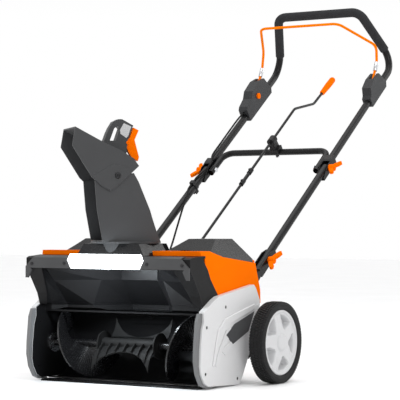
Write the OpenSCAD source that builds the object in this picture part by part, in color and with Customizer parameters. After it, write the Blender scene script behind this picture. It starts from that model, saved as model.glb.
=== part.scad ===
// Battery single stage snowblower. X is across the machine, Y runs from the intake back to the handle,
// Z is up.
// The origin is on the floor, under the middle of the scraper bar.

/* [Housing] */
// Half width of the housing's outer side faces
side_x = 255; // [230:1:280]
// Thickness of the moulded walls
wall = 3; // [2.5:0.5:4]
// Front face of the housing
front_y = -70; // [-80:1:-60]
// Outer face of the side covers
cover_x = 270; // [265:1:280]

/* [Auger] */
// Place of the auger's axis behind the scraper
auger_y = 50; // [45:1:55]
// Height of the auger's axis
auger_z = 99; // [96:1:104]
// Outer radius of the auger's blades
auger_r = 88; // [80:1:90]
// Radius of the auger shaft
auger_shaft_r = 10; // [8:0.5:12]
// Radius of the auger's pulley
auger_pulley_r = 70; // [60:1:72]
// Radius of the motor pulley
motor_pulley_r = 14; // [12:0.5:18]

/* [Chute] */
// Place of the chute's turning axis
chute_y = 20; // [15:1:25]
// Angle the chute is turned to the side
chute_turn = -41; // [-60:1:60]
// Half width of the chute's channel
chute_w = 65; // [60:1:68]
// Radius of the chute's round neck
neck_r = 70; // [68:1:72]
// Teeth of the chute's ring gear
ring_teeth = 48; // [48:1:48]
// Teeth of the turning pinion
pinion_teeth = 8; // [8:1:8]

/* [Wheels] */
// Radius of the tyres
wheel_r = 107; // [100:1:115]
// Width of the tyres
wheel_w = 44; // [38:1:50]
// Outer face of the tyres
wheel_x = 347; // [340:1:355]
// Place of the axle behind the scraper
axle_y = 239; // [230:1:245]
// Radius of the axle
axle_r = 6; // [5:0.5:8]

/* [Handle] */
// Outer radius of the handle tubes
tube_r = 11; // [10:0.5:12.5]
// Wall of the handle tubes
tube_wall = 1.5; // [1.2:0.1:2]
// Half distance between the handle tubes
tube_x = 203; // [195:1:210]
// Slope of the handle
handle_slope = 36.4; // [34:0.1:39]
// Radius of the foam grip
foam_r = 14; // [13:0.5:16]
// Radius of the bail rod
bail_r = 4; // [3.5:0.5:5]
// Radius of the crank rod
crank_r = 4; // [3.5:0.5:5]

/* [Hidden] */
$fn = 64;
eps = 0.01;
gap = 0.3;
fit = 0.05;
// The fold axis at the upper knobs, which lies on the tubes' centre line
fold_y = 750;
fold_z = 579;
// Where the lower knobs clamp the tubes, along the tube from the fold axis
lower_knob_s = -441;
tube_low_s = -490;
bolt_r = 3;
knob_seat_x = tube_x + tube_r + 3;
// The crank rod lies above the tubes' plane
crank_v = 42;
end_wall_x = side_x - wall;
neck_low_z = 312;
base_top_z = 365;
pinion_z = 288;
gear_r = 86;
gear_low_z = 298.9;
motor_y = 185;
motor_z = 165;
belt_x = -side_x - 4;
belt_w = 7;
pivot_f = 37;
pivot_z = 540;
trigger_f = -2;
trigger_z = 627;
bail_s = 410;
bail_v = 34;

// Outlines as [y, z], running anticlockwise seen from +X
end_wall_outline = [[-70, 327], [-70, 300], [-47, 269], [-23, 233], [-12, 203], [-27, 196], [-27, 172],
    [-35, 152], [-42, 102], [-44, 60], [-39, 40], [-23, 16], [-4, 8], [120, 8], [150, 60], [150, 206],
    [80, 206], [66, 232], [29, 274], [15, 300], [-4, 320], [-9, 335], [-60, 331]];
hood_outline = [[-9, 335.3], [-3.7, 320.3], [15.3, 300.3], [29.3, 274.3], [66.3, 232.3], [80, 206.3],
    [281, 206.3],
    [280, 241], [262, 289], [254, 313], [93, 331], [32, 347], [-9, 347]];
cover_outline = [[-28, 196], [-28, 171], [-36, 152], [-43, 102], [-45, 60], [-40, 40], [-24, 16],
    [-5, 8], [123, 3],
    [143, 3], [153, 9], [194, 74], [247, 168], [252, 215], [231, 248], [221, 257], [44, 232], [24, 224]];
guard_outline = [[-39, 192], [-49, 172], [-57, 103], [-58, 73], [-50, 40], [-31, 12], [-8, 3.5],
    [22, 3.5], [22, 6.6],
    [-5.3, 7.6], [-24.5, 15.6], [-40.3, 39.8], [-45.3, 60], [-43.3, 102], [-36.3, 152], [-28.3, 171],
    [-28.3, 192]];

// Outlines of the chute's parts as [forward, z]
chute_outline = [[-77, 370], [-69, 387], [-56, 426], [-48, 452], [-37, 478], [-18, 524], [-5, 547],
    [98, 526],
    [96, 500], [92, 452], [77, 370]];
deflector_outline = [[-18, 565], [-3, 585], [32, 606], [85, 630], [150, 664], [158, 616], [107, 536],
    [82, 513],
    [58, 500], [40, 511]];

function unit(v) = v / norm(v);
function left_of(a, b) = let (d = unit(b - a)) [-d[1], d[0]];
// The outline moved inwards by d on every side; its points run anticlockwise
function inset(p, d) = [for (i = [0:len(p) - 1])
    let (n = len(p), a = left_of(p[(i + n - 1) % n], p[i]), b = left_of(p[i], p[(i + 1) % n]))
    p[i] + d * (a + b) / (1 + a * b)];
function flip(p) = [for (q = p) [-q[0], q[1]]];

// A drawn [y, z] outline given thickness across the machine
module across(x0, x1) {
    translate([x0, 0, 0])
        rotate([90, 0, 90])
            linear_extrude(x1 - x0)
                children();
}

// A drawn [x, z] outline given thickness from front to back
module lengthwise(y0, y1) {
    translate([0, y1, 0])
        rotate([90, 0, 0])
            linear_extrude(y1 - y0)
                children();
}

// A round bar or hole across the machine
module rod_x(r, x0, x1) {
    translate([x0, 0, 0])
        rotate([0, 90, 0])
            cylinder(r = r, h = x1 - x0);
}

// The points of a route whose corners are rounded to the given bend radii
function corner_arc(a, c, b, r) =
    let (u = unit(c - a), v = unit(b - c), turn = acos(max(-1, min(1, u * v))), n = max(1, ceil(turn / 11)))
    (r <= 0 || turn < 0.5) ? [c] :
    let (axis = unit(cross(u, v)), out = cross(u, axis), centre = c - r * tan(turn / 2) * u - r * out)
    [for (i = [0:n]) let (t = turn * i / n) centre + r * (cos(t) * out + sin(t) * u)];
function route(p, bends) = concat([p[0]],
    [for (i = [1:1:len(p) - 2]) each corner_arc(p[i - 1], p[i], p[i + 1], bends[i])], [p[len(p) - 1]]);
function tangent(p, i) = i == 0 ? unit(p[1] - p[0]) : i == len(p) - 1 ? unit(p[i] - p[i - 1]) :
    unit(unit(p[i] - p[i - 1]) + unit(p[i + 1] - p[i]));
// Side vectors carried along the route without twisting
function carried(p, i, list) = i == len(p) ? list :
    let (t = tangent(p, i), s = list[i - 1]) carried(p, i + 1, concat(list, [unit(s - (s * t) * t)]));
function first_side(p) = let (t = tangent(p, 0)) unit(cross(t, abs(t[0]) < 0.9 ? [1, 0, 0] : [0, 0, 1]));
function ring(p, i, s, r, n) = let (t = tangent(p, i), w = cross(t, s))
    [for (k = [0:n - 1]) p[i] + r * (cos(360 * k / n) * s + sin(360 * k / n) * w)];
function wall_faces(rings, n, base, out) = [for (i = [0:rings - 2], k = [0:n - 1])
    let (a = base + i * n + k, b = base + i * n + (k + 1) % n)
    out ? [a, a + n, b + n, b] : [a, b, b + n, a + n]];

// A solid bar along a route, with flat ends
module bar(points, r, bends, n = 16) {
    p = route(points, bends);
    sides = carried(p, 1, [first_side(p)]);
    m = len(p);
    polyhedron([for (i = [0:m - 1]) each ring(p, i, sides[i], r, n)],
        concat([[for (k = [0:n - 1]) k]], wall_faces(m, n, 0, true),
            [[for (k = [n - 1:-1:0]) (m - 1) * n + k]]));
}

// The same as a hollow tube
module pipe(points, r, hollow_r, bends, n = 20) {
    p = route(points, bends);
    sides = carried(p, 1, [first_side(p)]);
    m = len(p);
    last = (m - 1) * n;
    inner = m * n;
    polyhedron(concat([for (i = [0:m - 1]) each ring(p, i, sides[i], r, n)],
            [for (i = [0:m - 1]) each ring(p, i, sides[i], hollow_r, n)]),
        concat(wall_faces(m, n, 0, true), wall_faces(m, n, inner, false),
            [for (k = [0:n - 1]) let (j = (k + 1) % n) [k, j, inner + j, inner + k]],
            [for (k = [0:n - 1]) let (j = (k + 1) % n) [last + j, last + k, inner + last + k,
            inner + last + j]]));
}

// Both handle sides: x along the machine's width, y up along the tube from the fold axis, z square to
// the tube
module handle_frame() {
    translate([0, fold_y, fold_z])
        rotate([handle_slope, 0, 0])
            children();
}

// The chute's own frame, in which it throws towards -Y
module chute_frame() {
    translate([0, chute_y, 0])
        rotate([0, 0, chute_turn])
            children();
}

module mirror_x() {
    children();
    mirror([1, 0, 0])
        children();
}

// ---- Housing ----

// The funnel above the auger: rings of [half width, y], from the shelf's height up to the ring gear
funnel_heights = [188, 200, 268, 300];
funnel_rings = [[[232, -80], [232, 10], [205, 46], [125, 52], [57, 140]],
    [[232, -80], [232, 10], [205, 46], [125, 52], [57, 140]],
    [[214, -80], [214, -40], [206, -16], [98, 50], [57, 84]],
    [[205, -80], [205, -60], [205, -50], [87, 47], [57, 84]]];
front_line = [[-70, 300], [-47, 269], [-23, 233], [-12, 203]];

function funnel_points(grow) = [for (k = [0:3])
    let (half = [for (q = funnel_rings[k]) q + [grow, grow]], z = funnel_heights[k] + (k == 3 ? grow : 0))
    each concat([for (q = half) [q[0], q[1], z]], [for (i = [4:-1:0]) [-half[i][0], half[i][1], z]])];

module funnel(grow) {
    n = 10;
    sides = [for (k = [0:2], i = [0:n - 1])
        let (a = k * n + i, b = k * n + (i + 1) % n) each [[a, a + n, b + n], [a, b + n, b]]];
    floor = [for (i = [0:3]) each [[i, i + 1, n - 2 - i], [i, n - 2 - i, n - 1 - i]]];
    polyhedron(funnel_points(grow), concat(floor, sides,
        [for (f = floor) [for (k = [2:-1:0]) f[k] + 3 * n]]));
}

module scroll_hollow() {
    translate([0, auger_y, auger_z])
        rod_x(scroll_r, -end_wall_x - 1, end_wall_x + 1);
}

module auger_housing() {
    color("#2b2c2e")
        difference() {
            union() {
                mirror_x()
                    across(end_wall_x, side_x)
                        polygon(end_wall_outline);
                // the funnel's walls, cut off along the housing's slanting front
                intersection() {
                    funnel(wall);
                    across(-end_wall_x, end_wall_x)
                        polygon(concat([[-70, 334]], front_line, [[-12, 206.3], [160, 206.3], [160, 334]]));
                }
                // front edges beside the funnel
                across(-end_wall_x, end_wall_x)
                    polygon(concat([[-70, 327]], front_line, [[-12, 206.3], [-7, 206.3], [-18, 235],
                        [-42, 271],
                        [-62, 302], [-62, 327]]));
                // top skin, narrow behind the light and carrying the chute's base
                across(-end_wall_x, end_wall_x)
                    polygon([[-70, 327], [-70, 324], [-58, 327], [8, 329], [8, 334.6], [-9, 334.6],
                        [-60, 331]]);
                across(-102, 102)
                    polygon([[0, 328], [62, 328], [62, 334.6], [0, 334.6]]);
                across(-76, 76)
                    polygon([[60, 328], [116, 331], [116, 334.6], [60, 334.6]]);
            }
            funnel(0);
            // room for the ring gear, and the mouth for the chute's neck above it
            translate([0, chute_y, gear_low_z - 0.5])
                cylinder(r = gear_r + 0.6, h = neck_low_z + 3 - gear_low_z);
            translate([0, chute_y, gear_low_z - 0.5])
                cylinder(r = neck_r + 0.6, h = 60);
            // recess for the light behind the header
            lengthwise(front_y - 1, front_y + 2.8)
                polygon([[-119, 301], [119, 301], [119, 340], [-119, 340]]);
            // bearing seats in the end walls
            translate([0, auger_y, auger_z])
                rod_x(22 + fit, -side_x - 1, side_x + 1);
            // opening for the motor's shaft
            translate([0, motor_y, motor_z])
                rod_x(16, -side_x - 1, 0);
            screw_holes();
        }
}

// The curved back of the auger's space and the shelf above it
scroll_r = 94;
module scroll_shell() {
    color("#2b2c2e") {
        difference() {
            union() {
                intersection() {
                    translate([0, auger_y, auger_z])
                        rod_x(scroll_r + wall, -end_wall_x, end_wall_x);
                    across(-side_x, side_x)
                        polygon([[22, 5.5], [160, 1], [160, 190], [50, 200], [50, 99], [22, 40]]);
                }
                across(-end_wall_x, end_wall_x)
                    polygon([[10, 182], [150, 182], [150, 206], [10, 206]]);
            }
            funnel(0);
            scroll_hollow();
        }
        // raised panel on the back wall, with a round boss
        difference() {
            intersection() {
                translate([0, auger_y, auger_z])
                    rod_x(scroll_r + 1, -50, 90);
                across(-60, 100)
                    polygon([[104, 172], [128, 150], [160, 165], [120, 190]]);
            }
            translate([0, auger_y, auger_z])
                rod_x(scroll_r - 1.2, -60, 100);
        }
        translate([18, auger_y, auger_z])
            rotate([-38.9, 0, 0])
                difference() {
                    translate([0, 0, scroll_r - 3])
                        cylinder(r = 9, h = 4);
                    translate([0, 0, scroll_r - 4])
                        cylinder(r = 5.5, h = 2.2);
                }
    }
}

// Screw heads: [x, y, z] on the header plate, [y, z] on the side covers
header_screws = [for (s = [-1, 1], p = [[234, 312], [129, 314]]) [s * p[0], front_y - 4, p[1]]];
cover_screws = [[78, 204], [-14, 156], [-20, 40], [136, 18]];
screw_r = 2;
screw_head_r = 4.2;
screw_head_h = 1.6;

module screw_holes() {
    for (p = header_screws)
        translate(p)
            rotate([-90, 0, 0])
                cylinder(r = screw_r + fit, h = 14);
    for (p = cover_screws)
        translate([0, p[0], p[1]])
            rod_x(screw_r + fit, -cover_x - 1, cover_x + 1);
}

module housing_screws() {
    color("#17181a") {
        for (p = header_screws)
            translate(p)
                rotate([-90, 0, 0]) {
                    cylinder(r = screw_r, h = 8);
                    translate([0, 0, -screw_head_h])
                        cylinder(r = screw_head_r, h = screw_head_h);
                }
        for (p = cover_screws)
            mirror_x()
                translate([0, p[0], p[1]]) {
                    rod_x(screw_r, cover_x - 14, cover_x - 3);
                    rod_x(screw_head_r, cover_x - 3, cover_x - 3 + screw_head_h);
                }
    }
}

module header_plate() {
    color("#8c8e90")
        difference() {
            union() {
                lengthwise(front_y - 4, front_y)
                    polygon([[-side_x, 275], [-side_x + 9, 275], [-side_x + 20, 296], [-240, 301],
                        [240, 301],
                        [side_x - 20, 296], [side_x - 9, 275], [side_x, 275], [side_x, 305], [232, 327.5],
                        [-232, 327.5], [-side_x, 305]]);
                // lip that turns back over the housing's top edge
                across(-230, 230)
                    polygon([[-74, 327.4], [-70, 327.4], [-60, 331.4], [-50, 332.2], [-50, 334],
                        [-61, 333.2],
                        [-74, 328.6]]);
            }
            lengthwise(front_y - 8, front_y + 4)
                polygon([[-109.5, 301.5], [109.5, 301.5], [118.5, 326], [97.5, 338.5], [-97.5, 338.5],
                    [-118.5, 326]]);
            screw_holes();
        }
}

light_outline = [[-109, 302], [109, 302], [118, 326], [97, 338], [-97, 338], [-118, 326]];

module light_housing() {
    color("#303234")
        difference() {
            lengthwise(front_y - 4, front_y + 2.5)
                polygon(light_outline);
            lengthwise(front_y - 5, front_y + 1)
                polygon(inset(light_outline, 2.5));
        }
}

module light_lens() {
    color("white")
        lengthwise(front_y - 5, front_y - 1)
            polygon(inset(light_outline, 2.6));
}

// The upper part of the hood's sides leans inwards above a crease: [y, z] of its front end and its bend
crease_front = [25, 284];
crease_bend = [108, 313];
facet_lean = 6;

// All that lies outside the leaning facets, moved inwards by d
module hood_facets(d) {
    mirror_x() {
        translate([side_x - d, crease_front[0], crease_front[1]])
            rotate([atan2(crease_bend[1] - crease_front[1], crease_bend[0] - crease_front[0]), 0, 0])
                rotate([0, -facet_lean, 0])
                    translate([0, -150, -150])
                        cube([60, 500, 300]);
        translate([side_x - d, crease_bend[0], crease_bend[1]])
            rotate([0, -facet_lean, 0])
                translate([0, -150, -150])
                    cube([60, 500, 300]);
    }
}

module hood_shell() {
    color("#f7760a") {
        difference() {
            across(-side_x, side_x)
                polygon(hood_outline);
            hood_facets(0);
            // hollow inside, open below and towards the auger housing
            difference() {
                across(-side_x + wall, side_x - wall)
                    polygon(concat([[-6, 334.8], [-30, 334.8], [-30, 190], [278, 190]],
                        [for (i = [7:12]) inset(hood_outline, wall)[i]]));
                hood_facets(wall);
            }
            // room for the back edge of the auger housing's top
            across(-end_wall_x - gap, end_wall_x + gap)
                polygon([[-30, 190], [8.3, 190], [8.3, 334.9], [-30, 334.9]]);
            // opening around the chute's base, narrower between the lids
            lengthwise(-80, 62.6)
                polygon([[-112, 300], [112, 300], [96, 380], [-96, 380]]);
            lengthwise(60, 118)
                polygon([[-77.2, 300], [77.2, 300], [77.2, 380], [-77.2, 380]]);
            // battery bays under the lids
            mirror_x()
                translate([92, 112, 280])
                    cube([124, 134, 100]);
            // way in for the turning shaft
            translate([0, 320, pinion_z])
                rotate([90, 0, 0])
                    cylinder(r = 8, h = 80);
            // bolt holes of the rear sockets
            for (x = [-tube_x, tube_x], z = [222, 262])
                translate([x, 300, z])
                    rotate([90, 0, 0])
                        cylinder(r = 4, h = 60);
            // way in for the cable
            translate([-172, 300, 236])
                rotate([90, 0, 0])
                    cylinder(r = cable_r + 0.3, h = 40);
            screw_holes();
        }
        // hinge ears and pins of the battery lids
        mirror_x() {
            for (x = [73, 243.6])
                across(x, x + 3.4)
                    polygon([[255, 311], [256.4, 317], [258, 320], [262, 320], [263.6, 317], [261, 291.5]]);
            translate([0, lid_hinge[0], lid_hinge[1]])
                rod_x(1.6, 74, 246);
        }
    }
}

// Blank badge and raised ridges on the side covers' faces, as [y, z]
badge_outline = [[77, 133], [110, 108], [189, 137], [220, 187], [120, 159]];
long_ridge = [[23, 56], [44, 64], [54, 89], [98, 132], [103, 152], [123, 172], [226, 193], [246, 206],
    [138, 184],
    [88, 161], [73, 138], [34, 85]];
short_ridge = [[54, 94], [73, 82], [128, 110], [164, 133], [88, 112]];

module cover() {
    difference() {
        union() {
            across(side_x + gap, cover_x)
                polygon(cover_outline);
            across(cover_x - 1, cover_x + 2)
                difference() {
                    union() {
                        polygon(long_ridge);
                        polygon(short_ridge);
                    }
                    polygon(inset(badge_outline, -gap));
                }
        }
        across(side_x, cover_x - wall)
            polygon(inset(cover_outline, wall));
        translate([0, axle_y, 107])
            rod_x(axle_r + 4, side_x, cover_x + 1);
        screw_holes();
        // screw head wells
        for (p = cover_screws)
            translate([0, p[0], p[1]])
                rod_x(screw_head_r + 0.2, cover_x - 3, cover_x + 1);
    }
}

module side_cover_right() {
    color("#dfe1e3")
        cover();
}

module side_cover_left() {
    color("#dfe1e3")
        mirror([1, 0, 0])
            cover();
}

module badge_plates() {
    color("#5c5e61")
        mirror_x()
            across(cover_x + 0.1, cover_x + 2)
                polygon(badge_outline);
}

module edge_guards() {
    color("#b9bbbd")
        mirror_x()
            across(side_x + gap, side_x + 10)
                polygon(guard_outline);
}

module scraper_bar() {
    color("#1d1e20")
        across(-245, 245)
            polygon([[-20, 0], [20, 0], [20, 5], [-16, 5], [-20, 2]]);
}

module chute_base() {
    color("#232427")
        difference() {
            intersection() {
                lengthwise(-52, 112)
                    polygon([[-104, 335], [104, 335], [86, base_top_z], [-86, base_top_z]]);
                across(-106, 106)
                    polygon([[-52, 335], [112, 335], [112, 348], [98, base_top_z], [-46, base_top_z]]);
                // narrower between the lids
                linear_extrude(400)
                    polygon([[-106, -52], [106, -52], [106, 62], [76.5, 62], [76.5, 112], [-76.5, 112],
                        [-76.5, 62],
                        [-106, 62]]);
            }
            translate([0, chute_y, 330])
                cylinder(r = neck_r + 0.5, h = 50);
        }
}

// ---- Chassis and drive ----

module rear_frame() {
    color("#26272a")
        difference() {
            union() {
                across(-end_wall_x + gap, end_wall_x - gap)
                    polygon([[150.3, 62], [228, 62], [281, 120], [281, 206], [150.3, 206]]);
                // seats for the rear sockets, behind the hood
                for (x = [-tube_x, tube_x])
                    across(x - 20, x + 20)
                        polygon([[250, 205], [276.8, 205], [276.3, 240.5], [262.6, 277], [250, 277]]);
            }
            across(-end_wall_x + 4, end_wall_x - 4)
                polygon([[154, 66], [226, 66], [277, 122], [277, 202], [154, 202]]);
            translate([0, axle_y, wheel_r])
                rod_x(axle_r + fit, -cover_x, cover_x);
            translate([0, motor_y, motor_z])
                rod_x(16, -side_x, -200);
            for (x = [-tube_x, tube_x], z = [222, 262])
                translate([x, 300, z])
                    rotate([90, 0, 0])
                        cylinder(r = bolt_r + fit, h = 60);
        }
    // axle bearings inside the frame
    color("#26272a")
        mirror_x()
            translate([0, axle_y, wheel_r])
                difference() {
                    rod_x(16, 210, end_wall_x - 4);
                    rod_x(axle_r + fit, 200, end_wall_x);
                }
}

module battery_packs() {
    color("#2a2b2e")
        mirror_x()
            difference() {
                translate([104, 132, 238])
                    cube([100, 112, 74]);
                translate([104, 132, 290])
                    for (x = [14:24:86])
                        translate([x, -1, 0])
                            cube([4, 20, 30]);
            }
}

module control_board() {
    color("#1e5c33")
        translate([20, 160, 208]) {
            cube([110, 90, 1.6]);
            for (i = [0:3])
                translate([14 + 24 * i, 20, 1.6])
                    cube([10, 14, 8]);
        }
}

module motor_can() {
    color("#8f9296")
        translate([0, motor_y, motor_z])
            difference() {
                union() {
                    rod_x(30, -190, -84);
                    rod_x(20, -196, -190);
                }
                rod_x(27, -186, -88);
                rod_x(5 + fit, -200, -80);
            }
}

module motor_rotor() {
    color("#a8abb0")
        translate([0, motor_y, motor_z]) {
            rod_x(5, -266, -82);
            rod_x(24, -180, -94);
            difference() {
                rod_x(motor_pulley_r, belt_x - belt_w - 0.5, belt_x + 0.5);
                rod_x(5 - eps, belt_x - belt_w - 2, belt_x + 2);
            }
        }
}

// The belt runs round both pulleys as two arcs joined by the tangent lines
function belt_points(grow) =
    let (dy = motor_y - auger_y, dz = motor_z - auger_z, span = norm([dy, dz]), base = atan2(dz, dy),
        lean = acos((auger_pulley_r - motor_pulley_r) / span), big = auger_pulley_r + grow,
        small = motor_pulley_r + grow)
    concat(
        [for (i = [0:40]) let (a = base + lean + i * (360 - 2 * lean) / 40)
            [auger_y + big * cos(a), auger_z + big * sin(a)]],
        [for (i = [0:16]) let (a = base - lean + i * 2 * lean / 16)
            [motor_y + small * cos(a), motor_z + small * sin(a)]]);

module drive_belt() {
    color("#151516")
        difference() {
            across(belt_x - belt_w, belt_x)
                polygon(belt_points(3.2));
            across(belt_x - belt_w - 1, belt_x + 1)
                polygon(belt_points(gap));
        }
}

module auger_pulley() {
    color("#55585c")
        translate([0, auger_y, auger_z])
            difference() {
                rod_x(auger_pulley_r - 0.3, belt_x - belt_w - 0.5, belt_x + 0.5);
                rod_x(auger_shaft_r, belt_x - belt_w - 2, belt_x + 2);
                for (a = [0:60:300])
                    rotate([a, 0, 0])
                        translate([0, 42, 0])
                            rod_x(14, belt_x - belt_w - 2, belt_x + 2);
            }
}

module auger_bearings() {
    color("#9b9ea2")
        mirror_x()
            translate([0, auger_y, auger_z])
                difference() {
                    union() {
                        rod_x(22, end_wall_x - 5, side_x);
                        rod_x(26, end_wall_x - 5, end_wall_x - gap);
                    }
                    rod_x(auger_shaft_r + fit, end_wall_x - 6, side_x + 1);
                }
}

module auger_shaft() {
    color("#2e3033")
        translate([0, auger_y, auger_z])
            rod_x(auger_shaft_r, -cover_x + wall + 0.5, side_x + 2);
}

// A spiral blade: rings of four corners, each turned and moved along the shaft
function spiral(x0, x1, a0, turns, r0, r1, thick, steps) =
    [for (i = [0:steps]) let (t = i / steps, a = a0 + 360 * turns * t, x = x0 + (x1 - x0) * t)
        for (c = [[x - thick / 2, r0], [x + thick / 2, r0], [x + thick / 2, r1], [x - thick / 2, r1]])
            [c[0], auger_y + c[1] * cos(a), auger_z + c[1] * sin(a)]];

module spiral_blade(x0, x1, a0, turns) {
    steps = 56;
    side_faces = [for (i = [0:steps - 1], j = [0:3]) let (k = (j + 1) % 4)
        [4 * i + k, 4 * i + j, 4 * i + 4 + j, 4 * i + 4 + k]];
    polyhedron(spiral(x0, x1, a0, turns, auger_shaft_r + 0.05, auger_r, 5, steps),
        concat([[0, 1, 2, 3]], side_faces, [[4 * steps + 3, 4 * steps + 2, 4 * steps + 1, 4 * steps]]));
}

module auger_flights() {
    color("#1c1d1f") {
        spiral_blade(-242, -94, 30, 0.85);
        spiral_blade(242, 94, 30, 0.85);
    }
}

// The centre scoop: two curved blades half a turn apart between two side plates
paddle_half = 90; // half its width
blade_back = [[13, -6], [24, -9], [42, -8], [60, -2], [76, 9], [87, 23]];

module paddle_blade() {
    n = len(blade_back);
    across(1 - paddle_half, paddle_half - 1)
        polygon(concat(blade_back, [for (i = [n - 1:-1:0]) blade_back[i] + [-0.6, 3.4]]));
    // stiffening ribs on the back of the blade
    for (x = [-75:25:75])
        across(x - 1.4, x + 1.4)
            polygon([[13, -5], [13, -17], [24, -19], [42, -16], [62, -6], [74, 7], [60, -1], [42, -7],
                [24, -8]]);
}

module auger_paddle() {
    color("#1c1d1f")
        translate([0, auger_y, auger_z])
            difference() {
                union() {
                    for (side = [0, 180])
                        rotate([side + 214, 0, 0])
                            paddle_blade();
                    rod_x(17, -paddle_half - 1, paddle_half + 1);
                    for (x = [-paddle_half, paddle_half - 4])
                        rod_x(34, x, x + 4);
                }
                rod_x(auger_shaft_r, -paddle_half - 2, paddle_half + 2);
                // the blades' outer edges curve in towards the middle
                for (side = [0, 180])
                    rotate([side + 214, 0, 0])
                        translate([0, 150, -80])
                            cylinder(r = 110, h = 160);
            }
}

module axle() {
    color("#7c7f83")
        translate([0, axle_y, wheel_r])
            rod_x(axle_r, -wheel_x + 1, wheel_x - 1);
}

module tyre(side) {
    color("#191a1b")
        mirror([side < 0 ? 1 : 0, 0, 0])
            translate([wheel_x - wheel_w, axle_y, wheel_r])
                rotate([0, 90, 0])
                    rotate_extrude($fn = 96)
                        polygon([[85, 5], [91, 1], [100, 0], [105, 4], [wheel_r, 12],
                            [wheel_r, wheel_w - 12],
                            [105, wheel_w - 4], [100, wheel_w], [91, wheel_w - 1], [85, wheel_w - 5]]);
}

module rim(side) {
    color("#c9cbcd")
        mirror([side < 0 ? 1 : 0, 0, 0])
            translate([wheel_x - wheel_w, axle_y, wheel_r])
                difference() {
                    union() {
                        difference() {
                            rod_x(85 - eps, 5, wheel_w - 5);
                            rod_x(66, 4, wheel_w - 4);
                        }
                        rod_x(22, 3, wheel_w - 2);
                        rod_x(68, 12, 16);
                        for (a = [0:72:288])
                            rotate([a + 10, 0, 0])
                                translate([14, -10, 18])
                                    cube([22, 20, 50]);
                    }
                    rod_x(axle_r + fit, 0, wheel_w + 1);
                    for (a = [0:72:288])
                        rotate([a + 46, 0, 0])
                            translate([0, 0, 45])
                                rod_x(11, 4, wheel_w);
                }
}

module tyre_right() {
    tyre(1);
}

module tyre_left() {
    tyre(-1);
}

module rim_right() {
    rim(1);
}

module rim_left() {
    rim(-1);
}

// ---- Chute and deflector ----

module chute_body() {
    color("#3a3c3f")
        chute_frame()
            difference() {
                union() {
                    across(-chute_w, chute_w)
                        polygon(flip(chute_outline));
                    // foot over the riser and the neck below it
                    translate([0, 0, base_top_z + 0.6])
                        linear_extrude(5)
                            intersection() {
                                circle(r = 92);
                                square([164, 172], center = true);
                            }
                    translate([0, 0, neck_low_z])
                        cylinder(r = neck_r, h = 56);
                }
                // the channel, open in front and at the top
                across(-chute_w + wall, chute_w - wall)
                    polygon(flip([[-52, 374], [-50, 400], [-48, 426], [-44, 452], [-33, 478],
                        [-14, 524], [0, 560],
                        [120, 560], [120, 374]]));
                translate([0, 0, neck_low_z - 1])
                    cylinder(r = neck_r - wall, h = base_top_z + 6 - neck_low_z);
                intersection() {
                    translate([0, 0, neck_low_z])
                        cylinder(r = neck_r - wall, h = 90);
                    across(-chute_w + wall, chute_w - wall)
                        polygon(flip([[-66, 310], [-66, 376], [-50, 420], [80, 420], [80, 310]]));
                }
                // the deflector's pivot
                translate([0, -pivot_f, pivot_z])
                    rod_x(4 + fit, -chute_w - 1, chute_w + 1);
            }
}

module chute_gear() {
    color("#303235")
        chute_frame()
            difference() {
                union() {
                    translate([0, 0, neck_low_z - 9])
                        cylinder(r = gear_r, h = 9);
                    translate([0, 0, neck_low_z])
                        cylinder(r = 78, h = 2);
                    for (i = [0:ring_teeth - 1])
                        rotate([0, 0, -chute_turn + 360 * (i + 0.5) / ring_teeth])
                            translate([0, 72, 0])
                                lengthwise(0, 13)
                                    polygon([[-1.9, neck_low_z - 8.9], [-1.0, gear_low_z], [1.0, gear_low_z],
                                        [1.9, neck_low_z - 8.9]]);
                }
                translate([0, 0, 290])
                    cylinder(r = neck_r - wall, h = 40);
                translate([0, 0, neck_low_z])
                    cylinder(r = neck_r, h = 40);
            }
}

module deflector() {
    color("#46484b")
        chute_frame()
            difference() {
                across(-chute_w - 4, chute_w + 4)
                    polygon(flip(deflector_outline));
                across(-chute_w - gap - 0.4, chute_w + gap + 0.4)
                    polygon(flip([[-60, 500], [-18 + 1.5, 562], [-1, 582], [33.5, 603], [86.5, 627],
                        [151, 661],
                        [180, 670], [180, 480], [0, 480]]));
                translate([0, -pivot_f, pivot_z])
                    rod_x(4 + fit, -chute_w - 9, chute_w + 9);
                // spare pivot holes
                for (p = [[48, 557], [58, 541], [52, 552]])
                    translate([0, -p[0], p[1]])
                        rod_x(2, -chute_w - 9, chute_w + 9);
            }
    // pivot bolts, one on each side
    color("#151617")
        chute_frame()
            mirror_x()
                translate([0, -pivot_f, pivot_z]) {
                    rod_x(4, chute_w - 6, chute_w + 4.5);
                    rod_x(7, chute_w + 4, chute_w + 6.5);
                }
}

grip_outline = [[61, 619.6], [61, 631], [53, 652], [47, 665], [37, 681], [23, 688], [13, 688], [-17, 672],
    [-12, 661], [-1, 632], [2, 589.6], [31, 607]];

module deflector_grip() {
    color("#5a5d60")
        chute_frame()
            difference() {
                across(-14, 14)
                    polygon(flip(grip_outline));
                // finger slot
                across(-20, 20)
                    polygon(flip([[46, 632], [34, 664], [25, 670], [19, 664], [30, 632]]));
                // room for the trigger between two cheeks
                across(-8.6, 8.6)
                    polygon(flip([[-50, 560], [-50, 700], [-6, 700], [-2, 650], [10, 636], [14, 620],
                        [8, 585]]));
                translate([0, -trigger_f, trigger_z])
                    rod_x(3 + fit, -20, 20);
            }
}

module deflector_trigger() {
    color("#f7760a")
        chute_frame() {
            across(-8, 8)
                polygon(flip([[-19, 667], [-33, 660], [-22, 635], [-34, 590], [-31, 580], [-14, 590],
                    [-5, 604],
                    [2, 624], [-2, 634], [-9, 640]]));
            translate([0, -trigger_f, trigger_z]) {
                rod_x(6, -8, 8);
                rod_x(3, -13.9, 13.9);
            }
        }
}

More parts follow.
